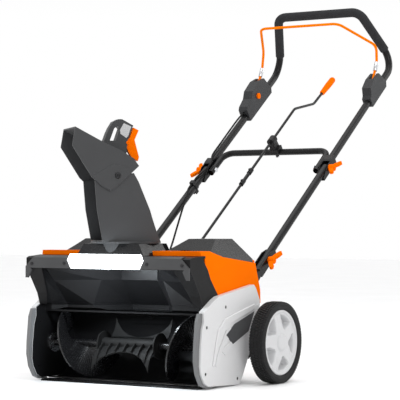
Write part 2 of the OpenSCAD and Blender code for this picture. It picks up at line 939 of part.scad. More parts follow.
module turn_shaft() {
    color("#9fa2a6") {
        translate([0, crank_joint[1] - 16, pinion_z])
            rotate([90, 0, 0])
                cylinder(r = 5, h = crank_joint[1] - 16 - 95);
        // pinion under the chute's ring gear
        translate([0, 107, pinion_z])
            rotate([90, 0, 0]) {
                cylinder(r = 9.5, h = 17);
                for (i = [0:pinion_teeth - 1])
                    rotate([0, 0, 90 + 360 * i / pinion_teeth])
                        linear_extrude(16)
                            polygon([[8, -2], [14.8, -0.9], [14.8, 0.9], [8, 2]]);
            }
        // yoke of the universal joint
        translate([0, crank_joint[1] - 7, pinion_z])
            rotate([90, 0, 0])
                cylinder(r = 8.5, h = 11);
    }
}

// ---- Battery lids ----

lid_hinge = [260, 317];
lid_side = [[64, 341.6], [93, 332.4], [254, 314.4], [263, 315.4], [263, 319], [215, 377], [130, 377],
    [100, 360]];

module lid() {
    difference() {
        union() {
            lid_skin();
            translate([0, lid_hinge[0], lid_hinge[1]])
                rod_x(3.2, 78, 242.5);
        }
        // room for the hood's hinge ears
        for (x = [[60, 77.5], [243, 261]])
            translate([x[0], 254, 300])
                cube([x[1] - x[0], 20, 30]);
        translate([0, lid_hinge[0], lid_hinge[1]])
            rod_x(1.6 + fit, 60, 260);
    }
}

module lid_skin() {
    difference() {
        intersection() {
            across(60, 248)
                polygon(lid_side);
            lengthwise(60, 290)
                polygon([[72, 285], [248, 285], [248, 316], [206, 378], [126, 378], [92, 345], [72, 325]]);
        }
        intersection() {
            across(60, 248)
                polygon([[70, 330], [93, 320], [240, 300], [250, 311], [258, 318], [213.5, 373.5],
                    [131, 373.5],
                    [103, 357.5]]);
            lengthwise(60, 290)
                polygon([[76, 285], [238, 285], [240, 318], [204, 374.5], [128, 374.5], [96, 344.5],
                    [77, 325]]);
        }
        // finger recess at the front
        translate([150, 60, 352])
            rotate([-28, 0, 0])
                cube([30, 40, 8], center = true);
    }
}

module battery_lid_right() {
    color("#202124")
        lid();
}

module battery_lid_left() {
    color("#202124")
        mirror([1, 0, 0])
            lid();
}

// ---- Handle ----

module lower_tube(side) {
    color("#232426")
        handle_frame()
            translate([side * tube_x, 0, 0])
                difference() {
                    union() {
                        rotate([90, 0, 0])
                            cylinder(r = tube_r, h = -tube_low_s);
                        sphere(r = tube_r);
                    }
                    rotate([90, 0, 0])
                        translate([0, 0, 6])
                            cylinder(r = tube_r - tube_wall, h = -tube_low_s);
                    for (s = [0, lower_knob_s])
                        translate([0, s, 0])
                            rod_x(bolt_r + fit, -20, 20);
                }
}

module lower_tube_right() {
    lower_tube(1);
}

module lower_tube_left() {
    lower_tube(-1);
}

// A channel that holds the tube's end, on a foot bolted to the back of the housing
module handle_socket(side) {
    color("#1e1f21")
        difference() {
            union() {
                handle_frame()
                    translate([side * tube_x, 0, 0]) {
                        across(-tube_r - 3, -tube_r - gap)
                            polygon([[tube_low_s - 8, -14], [-424, -14], [-398, -14], [-398, 4], [-424, 13],
                                [tube_low_s - 8, 13]]);
                        across(tube_r + gap, tube_r + 3)
                            polygon([[tube_low_s - 8, -14], [-424, -14], [-398, -14], [-398, 4], [-424, 13],
                                [tube_low_s - 8, 13]]);
                        across(-tube_r - 3, tube_r + 3)
                            polygon([[tube_low_s - 8, -14], [-398, -14], [-398, -11.3],
                                [tube_low_s - 8, -11.3]]);
                        across(-tube_r - 3, tube_r + 3)
                            polygon([[tube_low_s - 8, -14], [tube_low_s - gap, -14], [tube_low_s - gap, 13],
                                [tube_low_s - 8, 13]]);
                    }
                translate([side * tube_x, 0, 0]) {
                    across(-16, 16)
                        polygon([[281.3, 210], [286, 210], [286, 274], [281.3, 274]]);
                    for (x = [-tube_r - 3, tube_r + gap])
                        across(x, x + 2.7)
                            polygon([[285, 212], [353, 276], [345, 290], [285, 274]]);
                }
            }
            handle_frame()
                translate([side * tube_x, lower_knob_s, 0])
                    rod_x(bolt_r + fit, -20, 20);
            for (z = [222, 262])
                translate([side * tube_x, 300, z])
                    rotate([90, 0, 0])
                        cylinder(r = bolt_r + fit, h = 60);
        }
}

module handle_socket_right() {
    handle_socket(1);
}

module handle_socket_left() {
    handle_socket(-1);
}

crossbar_leg_x = tube_x - tube_r - 3 - 9.5 - 0.4;

module crossbar() {
    color("#26272a")
        handle_frame()
            difference() {
                pipe([[crossbar_leg_x, -16, 0], [crossbar_leg_x, 88, 0], [-crossbar_leg_x, 88, 0],
                    [-crossbar_leg_x, -16, 0]], 9.5, 8.3, [0, 32, 32, 0]);
                rod_x(bolt_r + fit, -crossbar_leg_x - 20, crossbar_leg_x + 20);
                translate([0, 88, -20])
                    cylinder(r = 2.5 + fit, h = 40);
            }
}

module crank_bracket() {
    color("#1d1e20")
        handle_frame()
            difference() {
                union() {
                    translate([0, 76, crank_v])
                        rotate([-90, 0, 0])
                            cylinder(r = 12, h = 24);
                    across(-9, 9)
                        polygon([[78, crank_v], [98, crank_v], [104, 4], [72, 4]]);
                    across(-16, 16)
                        polygon([[73, 1], [103, 1], [103, 16], [73, 16]]);
                }
                translate([0, 0, crank_v])
                    rotate([-90, 0, 0])
                        cylinder(r = crank_r + fit, h = 200);
                translate([0, 88, 0])
                    rod_x(9.6, -20, 20);
            }
    color("#c4c6c9")
        handle_frame()
            translate([0, 88, 0]) {
                translate([0, 0, -14])
                    cylinder(r = 5, h = 4.4);
                translate([0, 0, -12])
                    cylinder(r = 2.5, h = 21);
            }
}

// Carriage bolts: two at the folds and two at the sockets, heads towards the middle
module handle_bolts() {
    color("#c4c6c9")
        handle_frame()
            mirror_x() {
                rod_x(bolt_r, crossbar_leg_x - 12, knob_seat_x + 14);
                rod_x(7, crossbar_leg_x - 12.5, crossbar_leg_x - 9.9);
                translate([0, lower_knob_s, 0]) {
                    rod_x(bolt_r, tube_x - tube_r - 6, knob_seat_x + 14);
                    rod_x(7, tube_x - tube_r - 6, tube_x - tube_r - 3.2);
                }
            }
}

// An orange wing knob: its two wings lie along the tube and flare outwards. Outline as [out, along]
knob_wings = [[3, -10], [3, 10], [10, 24], [17, 35], [23, 36], [26, 31], [22, 19], [15.5, 9],
    [15.5, -9], [22, -19],
    [26, -31], [23, -36], [17, -35], [10, -24]];
knob_hole = 14.5; // depth of the threaded hole

module knob(side, s, lean) {
    color("#f7760a")
        handle_frame()
            mirror([side < 0 ? 1 : 0, 0, 0])
                translate([knob_seat_x + gap, s, 0])
                    rotate([lean, 0, 0])
                        difference() {
                            union() {
                                rod_x(10, 0, 16);
                                translate([0, 0, -4.5])
                                    linear_extrude(9)
                                        polygon(knob_wings);
                            }
                            rod_x(bolt_r + fit, -1, knob_hole);
                        }
}

module knob_upper_left() {
    knob(-1, 0, -5);
}

module knob_upper_right() {
    knob(1, 0, -10);
}

module knob_lower_left() {
    knob(-1, lower_knob_s, 0);
}

module knob_lower_right() {
    knob(1, lower_knob_s, 0);
}

// The upper tube's route in world axes: up, round behind the operator's hands and across the top
upper_start = [tube_x, fold_y + 24 * cos(handle_slope), fold_z + 24 * sin(handle_slope)];
upper_bend = [tube_x, fold_y + 574 * cos(handle_slope), fold_z + 574 * sin(handle_slope)];
upper_corner = [143, 1090, 1072];
function across_x(p) = [-p[0], p[1], p[2]];

module upper_handle() {
    color("#232426") {
        pipe([upper_start, upper_bend, upper_corner, across_x(upper_corner), across_x(upper_bend),
            across_x(upper_start)], tube_r, tube_r - tube_wall, [0, 58, 36, 36, 58, 0]);
        // fold channels round the lower tubes' ends
        handle_frame()
            for (side = [-1, 1])
                translate([side * tube_x, 0, 0])
                    difference() {
                        across(-tube_r - 2.6, tube_r + 2.6)
                            polygon([[-46, -13.6], [46, -13.6], [46, 13.6], [26, 13.6], [12, 11], [0, 12],
                                [-10, 8], [-46, -4]]);
                        across(-tube_r - 0.5, tube_r + 0.5)
                            polygon([[-50, -11.5], [18, -11.5], [18, 20], [-50, 20]]);
                        rod_x(bolt_r + fit, -20, 20);
                        translate([0, 17, 0])
                            rotate([-90, 0, 0])
                                cylinder(r = tube_r - 0.6, h = 60);
                    }
    }
}

foam_gap = 0.7; // leaves room for the flats of the round tube
// Where the foam ends on the way down from the corner
grip_low = upper_corner + 0.736 * (upper_bend - upper_corner);

module foam_grip() {
    color("#3a3b3d")
        pipe([grip_low, upper_corner, across_x(upper_corner), across_x(grip_low)], foam_r, tube_r + foam_gap,
            [0, 36, 36, 0]);
}

left_box = [[291, -14], [455, -14], [462, 0], [455, 14], [440, 50], [405, 60], [355, 56], [335, 40],
    [300, 33],
    [291, 26]];
right_box = [[345, -14], [460, -14], [468, 0], [460, 14], [440, 47], [400, 50], [365, 42], [355, 20],
    [345, 14]];

module switch_box(outline, half) {
    difference() {
        across(tube_x - half, tube_x + half)
            polygon(outline);
        // seat of the tube
        translate([tube_x, 280, 0])
            rotate([-90, 0, 0])
                cylinder(r = tube_r + 0.02, h = 200);
        // slot in which the bail's arm swings
        translate([0, bail_s, bail_v])
            across(tube_x - 7, tube_x + 7)
                polygon([[-8, -9], [8, -14], [80, -30], [80, 60], [10, 60], [-8, 8]]);
        translate([0, bail_s, bail_v])
            rod_x(4 + fit, tube_x - 12, tube_x + 12);
    }
}

module switch_box_left() {
    color("#3d3f42")
        handle_frame()
            mirror([1, 0, 0])
                difference() {
                    switch_box(left_box, 16);
                    // well of the lock-off button, on the inner face
                    translate([0, 374, 26])
                        rod_x(9 + fit, tube_x - 20, tube_x - 7);
                }
}

module switch_box_right() {
    color("#3d3f42")
        handle_frame()
            difference() {
                switch_box(right_box, 15);
                translate([0, 374, 26])
                    rod_x(7 + fit, tube_x - 20, tube_x - 8);
            }
}

module safety_button() {
    color("#f7760a")
        handle_frame()
            translate([0, 374, 26])
                rod_x(9, -tube_x + 11, -tube_x + 21);
}

module light_button() {
    color("#1a1b1c")
        handle_frame()
            translate([0, 374, 26])
                rod_x(7, tube_x - 19, tube_x - 11);
}

bail_pivot = [tube_x, fold_y + bail_s * cos(handle_slope) - bail_v * sin(handle_slope),
    fold_z + bail_s * sin(handle_slope) + bail_v * cos(handle_slope)];
bail_neck = [tube_x, 1091, 912];
bail_knee = [200, 1095, 965];
bail_corner = [135, 963, 1024];

module bail_lever() {
    color("#f7690a")
        bar([bail_pivot, bail_neck, bail_knee, bail_corner, across_x(bail_corner), across_x(bail_knee),
            across_x(bail_neck), across_x(bail_pivot)], bail_r, [0, 20, 24, 30, 30, 24, 20, 0]);
    color("#8d9094")
        mirror_x() {
            bar([bail_pivot + 0.62 * (bail_neck - bail_pivot), bail_neck], bail_r + 1.6, [0, 0]);
            translate([0, bail_pivot[1], bail_pivot[2]]) {
                rod_x(4, tube_x - 11.5, tube_x + 11.5);
                rod_x(6.4, tube_x - 6.4, tube_x + 6.4);
            }
        }
}

// ---- Crank ----

function in_handle(p) = [p[0], fold_y + p[1] * cos(handle_slope) - p[2] * sin(handle_slope),
    fold_z + p[1] * sin(handle_slope) + p[2] * cos(handle_slope)];
crank_joint_s = (pinion_z - in_handle([0, 0, crank_v])[2]) / sin(handle_slope);
crank_joint = in_handle([0, crank_joint_s, crank_v]);
crank_first_bend = in_handle([0, 262, crank_v]);
crank_second_bend = [0, 1060, 791];
crank_end = [0, 1184, 873];
crank_grip_dir = unit(crank_end - crank_second_bend);
coupler_s = [-140, -84];

module crank_rod() {
    color("#2a2b2d") {
        bar([in_handle([0, crank_joint_s + 11, crank_v]), crank_first_bend, crank_second_bend,
            crank_end], crank_r,
            [0, 40, 40, 0]);
        // coupler between the two halves of the rod, with its two clamp screws
        handle_frame()
            translate([0, 0, crank_v])
                for (s = coupler_s) {
                    translate([0, s, 0])
                        rotate([-90, 0, 0])
                            cylinder(r = 7, h = 20);
                    translate([0, s + 10, 0])
                        cylinder(r = 3.2, h = 10);
                }
        handle_frame()
            translate([0, coupler_s[0] + 20, crank_v])
                rotate([-90, 0, 0])
                    cylinder(r = 5.4, h = coupler_s[1] - coupler_s[0] - 20);
        // yoke and ball of the universal joint
        handle_frame()
            translate([0, crank_joint_s, crank_v]) {
                rotate([-90, 0, 0])
                    translate([0, 0, 7])
                        cylinder(r = 8.5, h = 12);
                sphere(r = 6.7);
                rotate([-90, 0, 0])
                    cylinder(r = 3, h = 8);
            }
    }
}

module crank_grip() {
    grip_start = crank_end - 84 * crank_grip_dir;
    color("#f7760a")
        difference() {
            translate(grip_start)
                rotate([atan2(crank_grip_dir[2], crank_grip_dir[1]), 0, 0])
                    rotate([-90, 0, 0])
                        rotate_extrude()
                            polygon([[0, 0], [6.5, 0], [8, 4], [9.8, 50], [9.8, 86], [8.6, 90],
                                [6, 92.5], [0, 93]]);
            translate(grip_start)
                rotate([atan2(crank_grip_dir[2], crank_grip_dir[1]), 0, 0])
                    rotate([-90, 0, 0])
                        translate([0, 0, -1])
                            cylinder(r = crank_r + 0.01, h = 85.5);
        }
}

// ---- Cable ----

cable_r = 2.8;
cable_v = tube_r + cable_r + 0.4;
clip_s = -95;
cable_in = [-172, 262, 236];

module cable_upper() {
    color("#1b1b1c")
        bar([in_handle([-tube_x, 290.8, 17.5]), in_handle([-tube_x, 240, 21]), in_handle([-tube_x, 120, 19]),
            in_handle([-tube_x, 60, 17]), in_handle([-tube_x, 27, 17])], cable_r, [0, 90, 90, 90, 0], 8);
}

module cable_lower() {
    color("#1b1b1c")
        bar([in_handle([-tube_x, -27, cable_v]), in_handle([-tube_x, -112, cable_v]),
            in_handle([-189, -152, 14]), in_handle([-182, -205, 4]), in_handle([-180, -262, -19]),
            [-178, 516, 352], [-175, 440, 262], [-172, 360, 236], cable_in],
            cable_r, [0, 30, 30, 40, 60, 60, 50, 40, 0], 8);
}

module cable_clip() {
    color("#151516")
        handle_frame()
            translate([-tube_x, clip_s, 0])
                difference() {
                    union() {
                        rotate([-90, 0, 0])
                            cylinder(r = tube_r + 2.4, h = 14);
                        translate([-6, 0, 8])
                            cube([12, 14, cable_v - 2]);
                        translate([-6, 0, -22])
                            cube([4, 14, 12]);
                        translate([2, 0, -22])
                            cube([4, 14, 12]);
                    }
                    rotate([-90, 0, 0])
                        translate([0, 0, -1])
                            cylinder(r = tube_r + fit, h = 20);
                    translate([0, -1, cable_v])
                        rotate([-90, 0, 0])
                            cylinder(r = cable_r + 0.05, h = 20);
                }
}

auger_housing();
header_plate();
housing_screws();
light_housing();
light_lens();
hood_shell();
side_cover_left();
side_cover_right();
badge_plates();
edge_guards();
scroll_shell();
scraper_bar();
chute_base();
battery_packs();
rear_frame();
control_board();
motor_can();
drive_belt();
auger_bearings();
axle();
handle_socket_left();
handle_socket_right();
lower_tube_left();
lower_tube_right();
crossbar();
crank_bracket();
handle_bolts();
cable_lower();
cable_clip();
auger_shaft();
auger_flights();
auger_paddle();
auger_pulley();
motor_rotor();
tyre_left();
tyre_right();
rim_left();
rim_right();
chute_body();
chute_gear();
deflector();
deflector_grip();
deflector_trigger();
turn_shaft();
crank_rod();
crank_grip();
battery_lid_left();
battery_lid_right();
upper_handle();
foam_grip();
switch_box_left();
switch_box_right();
cable_upper();
safety_button();
light_button();
bail_lever();
knob_upper_left();
knob_upper_right();
knob_lower_left();
knob_lower_right();
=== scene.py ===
"""Single stage snowblower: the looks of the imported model."""

import math

import bmesh
import bpy
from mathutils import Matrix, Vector


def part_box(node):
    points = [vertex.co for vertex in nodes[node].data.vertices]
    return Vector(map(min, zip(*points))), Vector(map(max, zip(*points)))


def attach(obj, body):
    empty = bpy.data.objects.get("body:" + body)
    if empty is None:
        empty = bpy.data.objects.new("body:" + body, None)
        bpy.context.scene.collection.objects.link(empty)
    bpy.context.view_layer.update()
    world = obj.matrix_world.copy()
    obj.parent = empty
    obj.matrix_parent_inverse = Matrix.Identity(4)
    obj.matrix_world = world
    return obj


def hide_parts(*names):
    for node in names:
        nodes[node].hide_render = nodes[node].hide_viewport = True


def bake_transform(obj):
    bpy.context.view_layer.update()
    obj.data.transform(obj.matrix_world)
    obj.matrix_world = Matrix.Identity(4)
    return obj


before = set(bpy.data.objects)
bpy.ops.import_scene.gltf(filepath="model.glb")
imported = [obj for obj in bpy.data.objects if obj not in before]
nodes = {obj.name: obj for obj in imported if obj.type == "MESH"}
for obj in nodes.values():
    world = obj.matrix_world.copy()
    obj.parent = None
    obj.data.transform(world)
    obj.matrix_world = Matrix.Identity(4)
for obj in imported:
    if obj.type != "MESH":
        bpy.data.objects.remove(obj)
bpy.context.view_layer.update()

# ---------------------------------------------------------------- materials


def node_material(name):
    material = bpy.data.materials.new(name)
    material.use_nodes = True
    tree = material.node_tree
    return material, tree, tree.nodes["Principled BSDF"]


def texture_place(tree):
    """Where a point lies on the piece itself, in metres, so that patterns keep their real size."""
    return tree.nodes.new("ShaderNodeTexCoord").outputs["Object"]


def noise(tree, where, scale, detail=4.0, rough=0.6):
    node = tree.nodes.new("ShaderNodeTexNoise")
    node.inputs["Scale"].default_value = scale
    node.inputs["Detail"].default_value = detail
    node.inputs["Roughness"].default_value = rough
    tree.links.new(where, node.inputs["Vector"])
    return node.outputs["Fac"]


def remap(tree, value, low, high, start=0.3, end=0.7):
    node = tree.nodes.new("ShaderNodeMapRange")
    node.inputs["From Min"].default_value = start
    node.inputs["From Max"].default_value = end
    node.inputs["To Min"].default_value = low
    node.inputs["To Max"].default_value = high
    tree.links.new(value, node.inputs["Value"])
    return node.outputs["Result"]


def mix(tree, factor, first, second):
    node = tree.nodes.new("ShaderNodeMix")
    node.data_type = "RGBA"
    tree.links.new(factor, node.inputs["Factor"])
    for socket, value in (("A", first), ("B", second)):
        target = [s for s in node.inputs if s.name == socket and s.type == "RGBA"][0]
        if isinstance(value, (tuple, list)):
            target.default_value = tuple(value[:3]) + (1,)
        else:
            tree.links.new(value, target)
    return [s for s in node.outputs if s.type == "RGBA"][0]


def scaled(rgb, k):
    return tuple(min(1.0, c * k) for c in rgb)


def add_bump(tree, shader, height, distance, strength):
    bump = tree.nodes.new("ShaderNodeBump")
    bump.inputs["Distance"].default_value = distance
    bump.inputs["Strength"].default_value = strength
    tree.links.new(height, bump.inputs["Height"])
    tree.links.new(bump.outputs["Normal"], shader.inputs["Normal"])


# Patterns are given as features to a metre, and depths in metres
CLOUD_SCALE = 7.0
SMEAR_SCALE = 38.0
CORNER_REACH = 0.012
CORNER_SAMPLES = 6
CORNER_RANGE = (0.25, 0.85)
DUST_KEEPS = 0.9
DUST_ADDS = 0.03
PLASTIC_GLOSS_SPREAD = (-0.07, 0.09)


def moulded(name, rgb, rough=0.45, grain=900.0, depth=0.00006, patches=0.10, shine=0.2, dust=0.12,
            ior=None):
    """Moulded plastic: fine grain, soft patches of colour, varying gloss, dust in the corners."""
    material, tree, shader = node_material(name)
    where = texture_place(tree)
    cloud = noise(tree, where, CLOUD_SCALE, detail=5.0, rough=0.65)
    fine = noise(tree, where, grain, detail=2.0, rough=0.5)
    smear = noise(tree, where, SMEAR_SCALE, detail=6.0, rough=0.7)
    tone = mix(tree, remap(tree, cloud, 0.0, 1.0),
               scaled(rgb, 1 - patches), scaled(rgb, 1 + patches))
    occlusion = tree.nodes.new("ShaderNodeAmbientOcclusion")
    occlusion.inputs["Distance"].default_value = CORNER_REACH
    occlusion.samples = CORNER_SAMPLES
    corner = remap(tree, occlusion.outputs["AO"], dust, 0.0, *CORNER_RANGE)
    dusty = tuple(DUST_KEEPS * c + DUST_ADDS for c in rgb)
    tree.links.new(mix(tree, corner, tone, dusty), shader.inputs["Base Color"])
    gloss = remap(tree, smear, *(rough + step for step in PLASTIC_GLOSS_SPREAD))
    tree.links.new(gloss, shader.inputs["Roughness"])
    add_bump(tree, shader, fine, depth, strength=0.7)
    shader.inputs["Specular IOR Level"].default_value = shine
    if ior:
        shader.inputs["IOR"].default_value = ior
    return material


DRAWN_LINES = 260.0
METAL_CLOUD = 16.0
METAL_TONES = (0.88, 1.1)
METAL_GLOSS_SPREAD = (-0.08, 0.12)


def metal(name, rgb, rough=0.32, metallic=1.0, depth=0.00003, shine=0.3, ior=None):
    """Bare or painted metal: cloudy tone and a fine pattern in its gloss and surface."""
    material, tree, shader = node_material(name)
    where = texture_place(tree)
    lines = noise(tree, where, DRAWN_LINES, detail=3.0, rough=0.6)
    cloud = noise(tree, where, METAL_CLOUD, detail=5.0, rough=0.6)
    tone = mix(tree, remap(tree, cloud, 0.0, 1.0), *(scaled(rgb, k) for k in METAL_TONES))
    tree.links.new(tone, shader.inputs["Base Color"])
    gloss = remap(tree, lines, *(rough + step for step in METAL_GLOSS_SPREAD))
    tree.links.new(gloss, shader.inputs["Roughness"])
    shader.inputs["Metallic"].default_value = metallic
    shader.inputs["Specular IOR Level"].default_value = shine
    if ior:
        shader.inputs["IOR"].default_value = ior
    add_bump(tree, shader, lines, depth, strength=0.5)
    return material


FOAM_CELLS = 900.0
FOAM_CLOUD = 30.0
FOAM_CELL_DEPTH = 0.0003
FOAM_SHINE = 0.15
FOAM_TONES = (0.85, 1.18)
FOAM_ROUGHNESS = (0.78, 0.92)


def foam_material(name, rgb):
    """Closed cell foam: a cell pattern in the surface, dull all over."""
    material, tree, shader = node_material(name)
    where = texture_place(tree)
    cells = tree.nodes.new("ShaderNodeTexVoronoi")
    cells.inputs["Scale"].default_value = FOAM_CELLS
    tree.links.new(where, cells.inputs["Vector"])
    cloud = noise(tree, where, FOAM_CLOUD, detail=5.0, rough=0.6)
    tone = mix(tree, remap(tree, cloud, 0.0, 1.0), *(scaled(rgb, k) for k in FOAM_TONES))
    tree.links.new(tone, shader.inputs["Base Color"])
    tree.links.new(remap(tree, cloud, *FOAM_ROUGHNESS), shader.inputs["Roughness"])
    add_bump(tree, shader, cells.outputs["Distance"], FOAM_CELL_DEPTH, strength=0.6)
    shader.inputs["Specular IOR Level"].default_value = FOAM_SHINE
    return material


LAMP_BANDS = 14.0
LAMP_STRENGTH = (4.0, 7.0)
LENS_TINT = (0.95, 0.97, 1.0, 1)
LAMP_TINT = (0.93, 0.97, 1.0, 1)
LENS_ROUGHNESS = 0.12


def lens_material():
    """A lit lens, brighter in front of each lamp."""
    material, tree, shader = node_material("lens_glow")
    lamps = tree.nodes.new("ShaderNodeTexWave")
    lamps.bands_direction = "X"
    lamps.inputs["Scale"].default_value = LAMP_BANDS
    tree.links.new(texture_place(tree), lamps.inputs["Vector"])
    glow = remap(tree, lamps.outputs["Fac"], *LAMP_STRENGTH, 0.0, 1.0)
    shader.inputs["Base Color"].default_value = LENS_TINT
    shader.inputs["Roughness"].default_value = LENS_ROUGHNESS
    shader.inputs["Emission Color"].default_value = LAMP_TINT
    tree.links.new(glow, shader.inputs["Emission Strength"])
    return material


# ---------------------------------------------------------------- camera, floor and light

CAMERA_PLACE = (2.5087, -3.6465, 0.418)
CAMERA_AZIMUTH = math.radians(31.88)
CAMERA_ELEVATION = math.radians(-0.779)
LENS_MM = 153.33
SENSOR_MM = 36.0
CLIP_END = 100.0


def make_camera():
    data = bpy.data.cameras.new("camera")
    data.lens = LENS_MM
    data.sensor_width = SENSOR_MM
    data.clip_end = CLIP_END
    camera = bpy.data.objects.new("camera", data)
    bpy.context.scene.collection.objects.link(camera)
    camera.location = CAMERA_PLACE
    camera.rotation_euler = (math.pi / 2 - CAMERA_ELEVATION, 0.0, CAMERA_AZIMUTH)
    bpy.context.scene.camera = camera


def area_light(name, place, target, size, power, colour=(1.0, 1.0, 1.0)):
    data = bpy.data.lights.new(name, "AREA")
    data.shape = "RECTANGLE"
    data.size = size[0]
    data.size_y = size[1]
    data.energy = power
    data.color = colour
    light = bpy.data.objects.new(name, data)
    bpy.context.scene.collection.objects.link(light)
    light.location = place
    aim = Vector(target) - Vector(place)
    light.rotation_euler = aim.to_track_quat("-Z", "Y").to_euler()


FLOOR_HALF = 14.0
FLOOR_PATCHES = 3.0
FLOOR_TONES = ((0.90, 0.90, 0.905), (0.94, 0.94, 0.945))
FLOOR_ROUGHNESS = 0.5


def make_floor():
    mesh = bpy.data.meshes.new("floor")
    corners = [(x * FLOOR_HALF, y * FLOOR_HALF, 0) for x, y in ((-1, -1), (1, -1), (1, 1), (-1, 1))]
    mesh.from_pydata(corners, [], [(0, 1, 2, 3)])
    floor = bpy.data.objects.new("floor", mesh)
    bpy.context.scene.collection.objects.link(floor)
    material, tree, shader = node_material("floor_white")
    patches = remap(tree, noise(tree, texture_place(tree), FLOOR_PATCHES), 0.0, 1.0)
    tree.links.new(mix(tree, patches, *FLOOR_TONES), shader.inputs["Base Color"])
    shader.inputs["Roughness"].default_value = FLOOR_ROUGHNESS
    mesh.materials.append(material)


HORIZON_LIGHT = 1.0
OVERHEAD_LIGHT = 0.6
FADE_HEIGHTS = (0.12, 0.5)


def make_world():
    """White all round at eye height, dimmer overhead, so that dark parts stay dark."""
    world = bpy.data.worlds.new("studio")
    bpy.context.scene.world = world
    world.use_nodes = True
    tree = world.node_tree
    sky = tree.nodes["Background"]
    place = tree.nodes.new("ShaderNodeTexCoord")
    parts = tree.nodes.new("ShaderNodeSeparateXYZ")
    tree.links.new(place.outputs["Generated"], parts.inputs["Vector"])
    strength = remap(tree, parts.outputs["Z"], HORIZON_LIGHT, OVERHEAD_LIGHT, *FADE_HEIGHTS)
    tree.links.new(strength, sky.inputs["Strength"])
    sky.inputs["Color"].default_value = (1.0, 1.0, 1.0, 1)


MACHINE = (0, 0.3, 0.4)
LAMP_COLOUR = (0.86, 0.94, 1.0)
SUN_POWER = 1.35
SUN_SPREAD = math.radians(80)


def make_lights():
    area_light("key", (2.6, -1.6, 2.2), MACHINE, (1.6, 1.6), 30)
    area_light("fill", (-2.6, -2.0, 1.6), MACHINE, (1.8, 1.8), 14)
    overhead = bpy.data.lights.new("overhead", "SUN")
    overhead.energy = SUN_POWER
    overhead.angle = SUN_SPREAD
    bpy.context.scene.collection.objects.link(bpy.data.objects.new("overhead", overhead))
    area_light("top", (0.0, 0.6, 3.0), (0, 0.4, 0.3), (2.0, 2.0), 14)
    area_light("back", (1.8, 3.2, 2.2), (0, 0.4, 0.5), (1.5, 1.5), 20)
    # The machine's own lamp lights the funnel below it and the chute's foot above it
    area_light("lamp_spill", (0.0, -0.078, 0.296), (0.0, 0.05, 0.18), (0.2, 0.012), 1.5,
               LAMP_COLOUR)
    area_light("lamp_glow", (0.0, -0.100, 0.345), (0.0, 0.02, 0.40), (0.2, 0.02), 0.08, LAMP_COLOUR)


make_camera()
make_floor()
make_world()
make_lights()
bpy.context.scene.view_settings.view_transform = "Standard"

# ---------------------------------------------------------------- finishes

LOW_IOR = 1.12

HOUSING = moulded("housing_black", (0.0065, 0.0065, 0.007), 0.36, shine=0.12)
CHUTE = moulded("chute_grey", (0.050, 0.051, 0.053), 0.42, 1100.0, 0.00008, patches=0.06)
HEADER = moulded("header_grey", (0.060, 0.061, 0.063), 0.42)
ORANGE = moulded("orange_gloss", (0.88, 0.150, 0.0004), 0.34, depth=0.00002, patches=0.04,
                 shine=0.04, dust=0.0, ior=LOW_IOR)
COVER = moulded("cover_grey", (0.62, 0.62, 0.625), 0.40, patches=0.02, shine=0.35, dust=0.05)
GUARD = moulded("guard_grey", (0.16, 0.162, 0.165), 0.38, patches=0.05)
LID = moulded("lid_black", (0.006, 0.006, 0.0065), 0.26, patches=0.12)
BLACK = moulded("small_black", (0.008, 0.008, 0.0085), 0.40)
BOX = moulded("box_grey", (0.030, 0.031, 0.033), 0.45, depth=0.0001)
GRIP = moulded("grip_grey", (0.045, 0.046, 0.048), 0.42)
PANEL = moulded("panel_silver", (0.46, 0.465, 0.47), 0.35, patches=0.04, shine=0.35)
BADGE = moulded("badge_grey", (0.060, 0.061, 0.064), 0.32)
RUBBER = moulded("rubber_black", (0.008, 0.008, 0.008), 0.60, 500.0, shine=0.15)
TYRE = moulded("tyre_rubber", (0.017, 0.017, 0.0175), 0.72, 320.0, 0.00015, patches=0.15, dust=0.10)
RIM = moulded("rim_silver", (0.56, 0.562, 0.57), 0.36, patches=0.03, shine=0.35, dust=0.0)
PAINT = metal("black_paint", (0.006, 0.006, 0.0065), 0.30, metallic=0.0, shine=0.2)
AUGER = metal("auger_paint", (0.0065, 0.0065, 0.007), 0.24, metallic=0.0, depth=0.000004, shine=0.4)
STEEL = metal("bright_steel", (0.66, 0.67, 0.69), 0.26, shine=0.5)
DARK_STEEL = metal("dark_steel", (0.03, 0.03, 0.032), 0.36, metallic=0.6)
BAIL = metal("orange_paint", (0.88, 0.190, 0.001), 0.34, metallic=0.0, shine=0.05, ior=LOW_IOR)
FOAM = foam_material("foam_dark", (0.026, 0.027, 0.029))
LENS = lens_material()
BOARD = moulded("board_green", (0.02, 0.16, 0.06), 0.4)

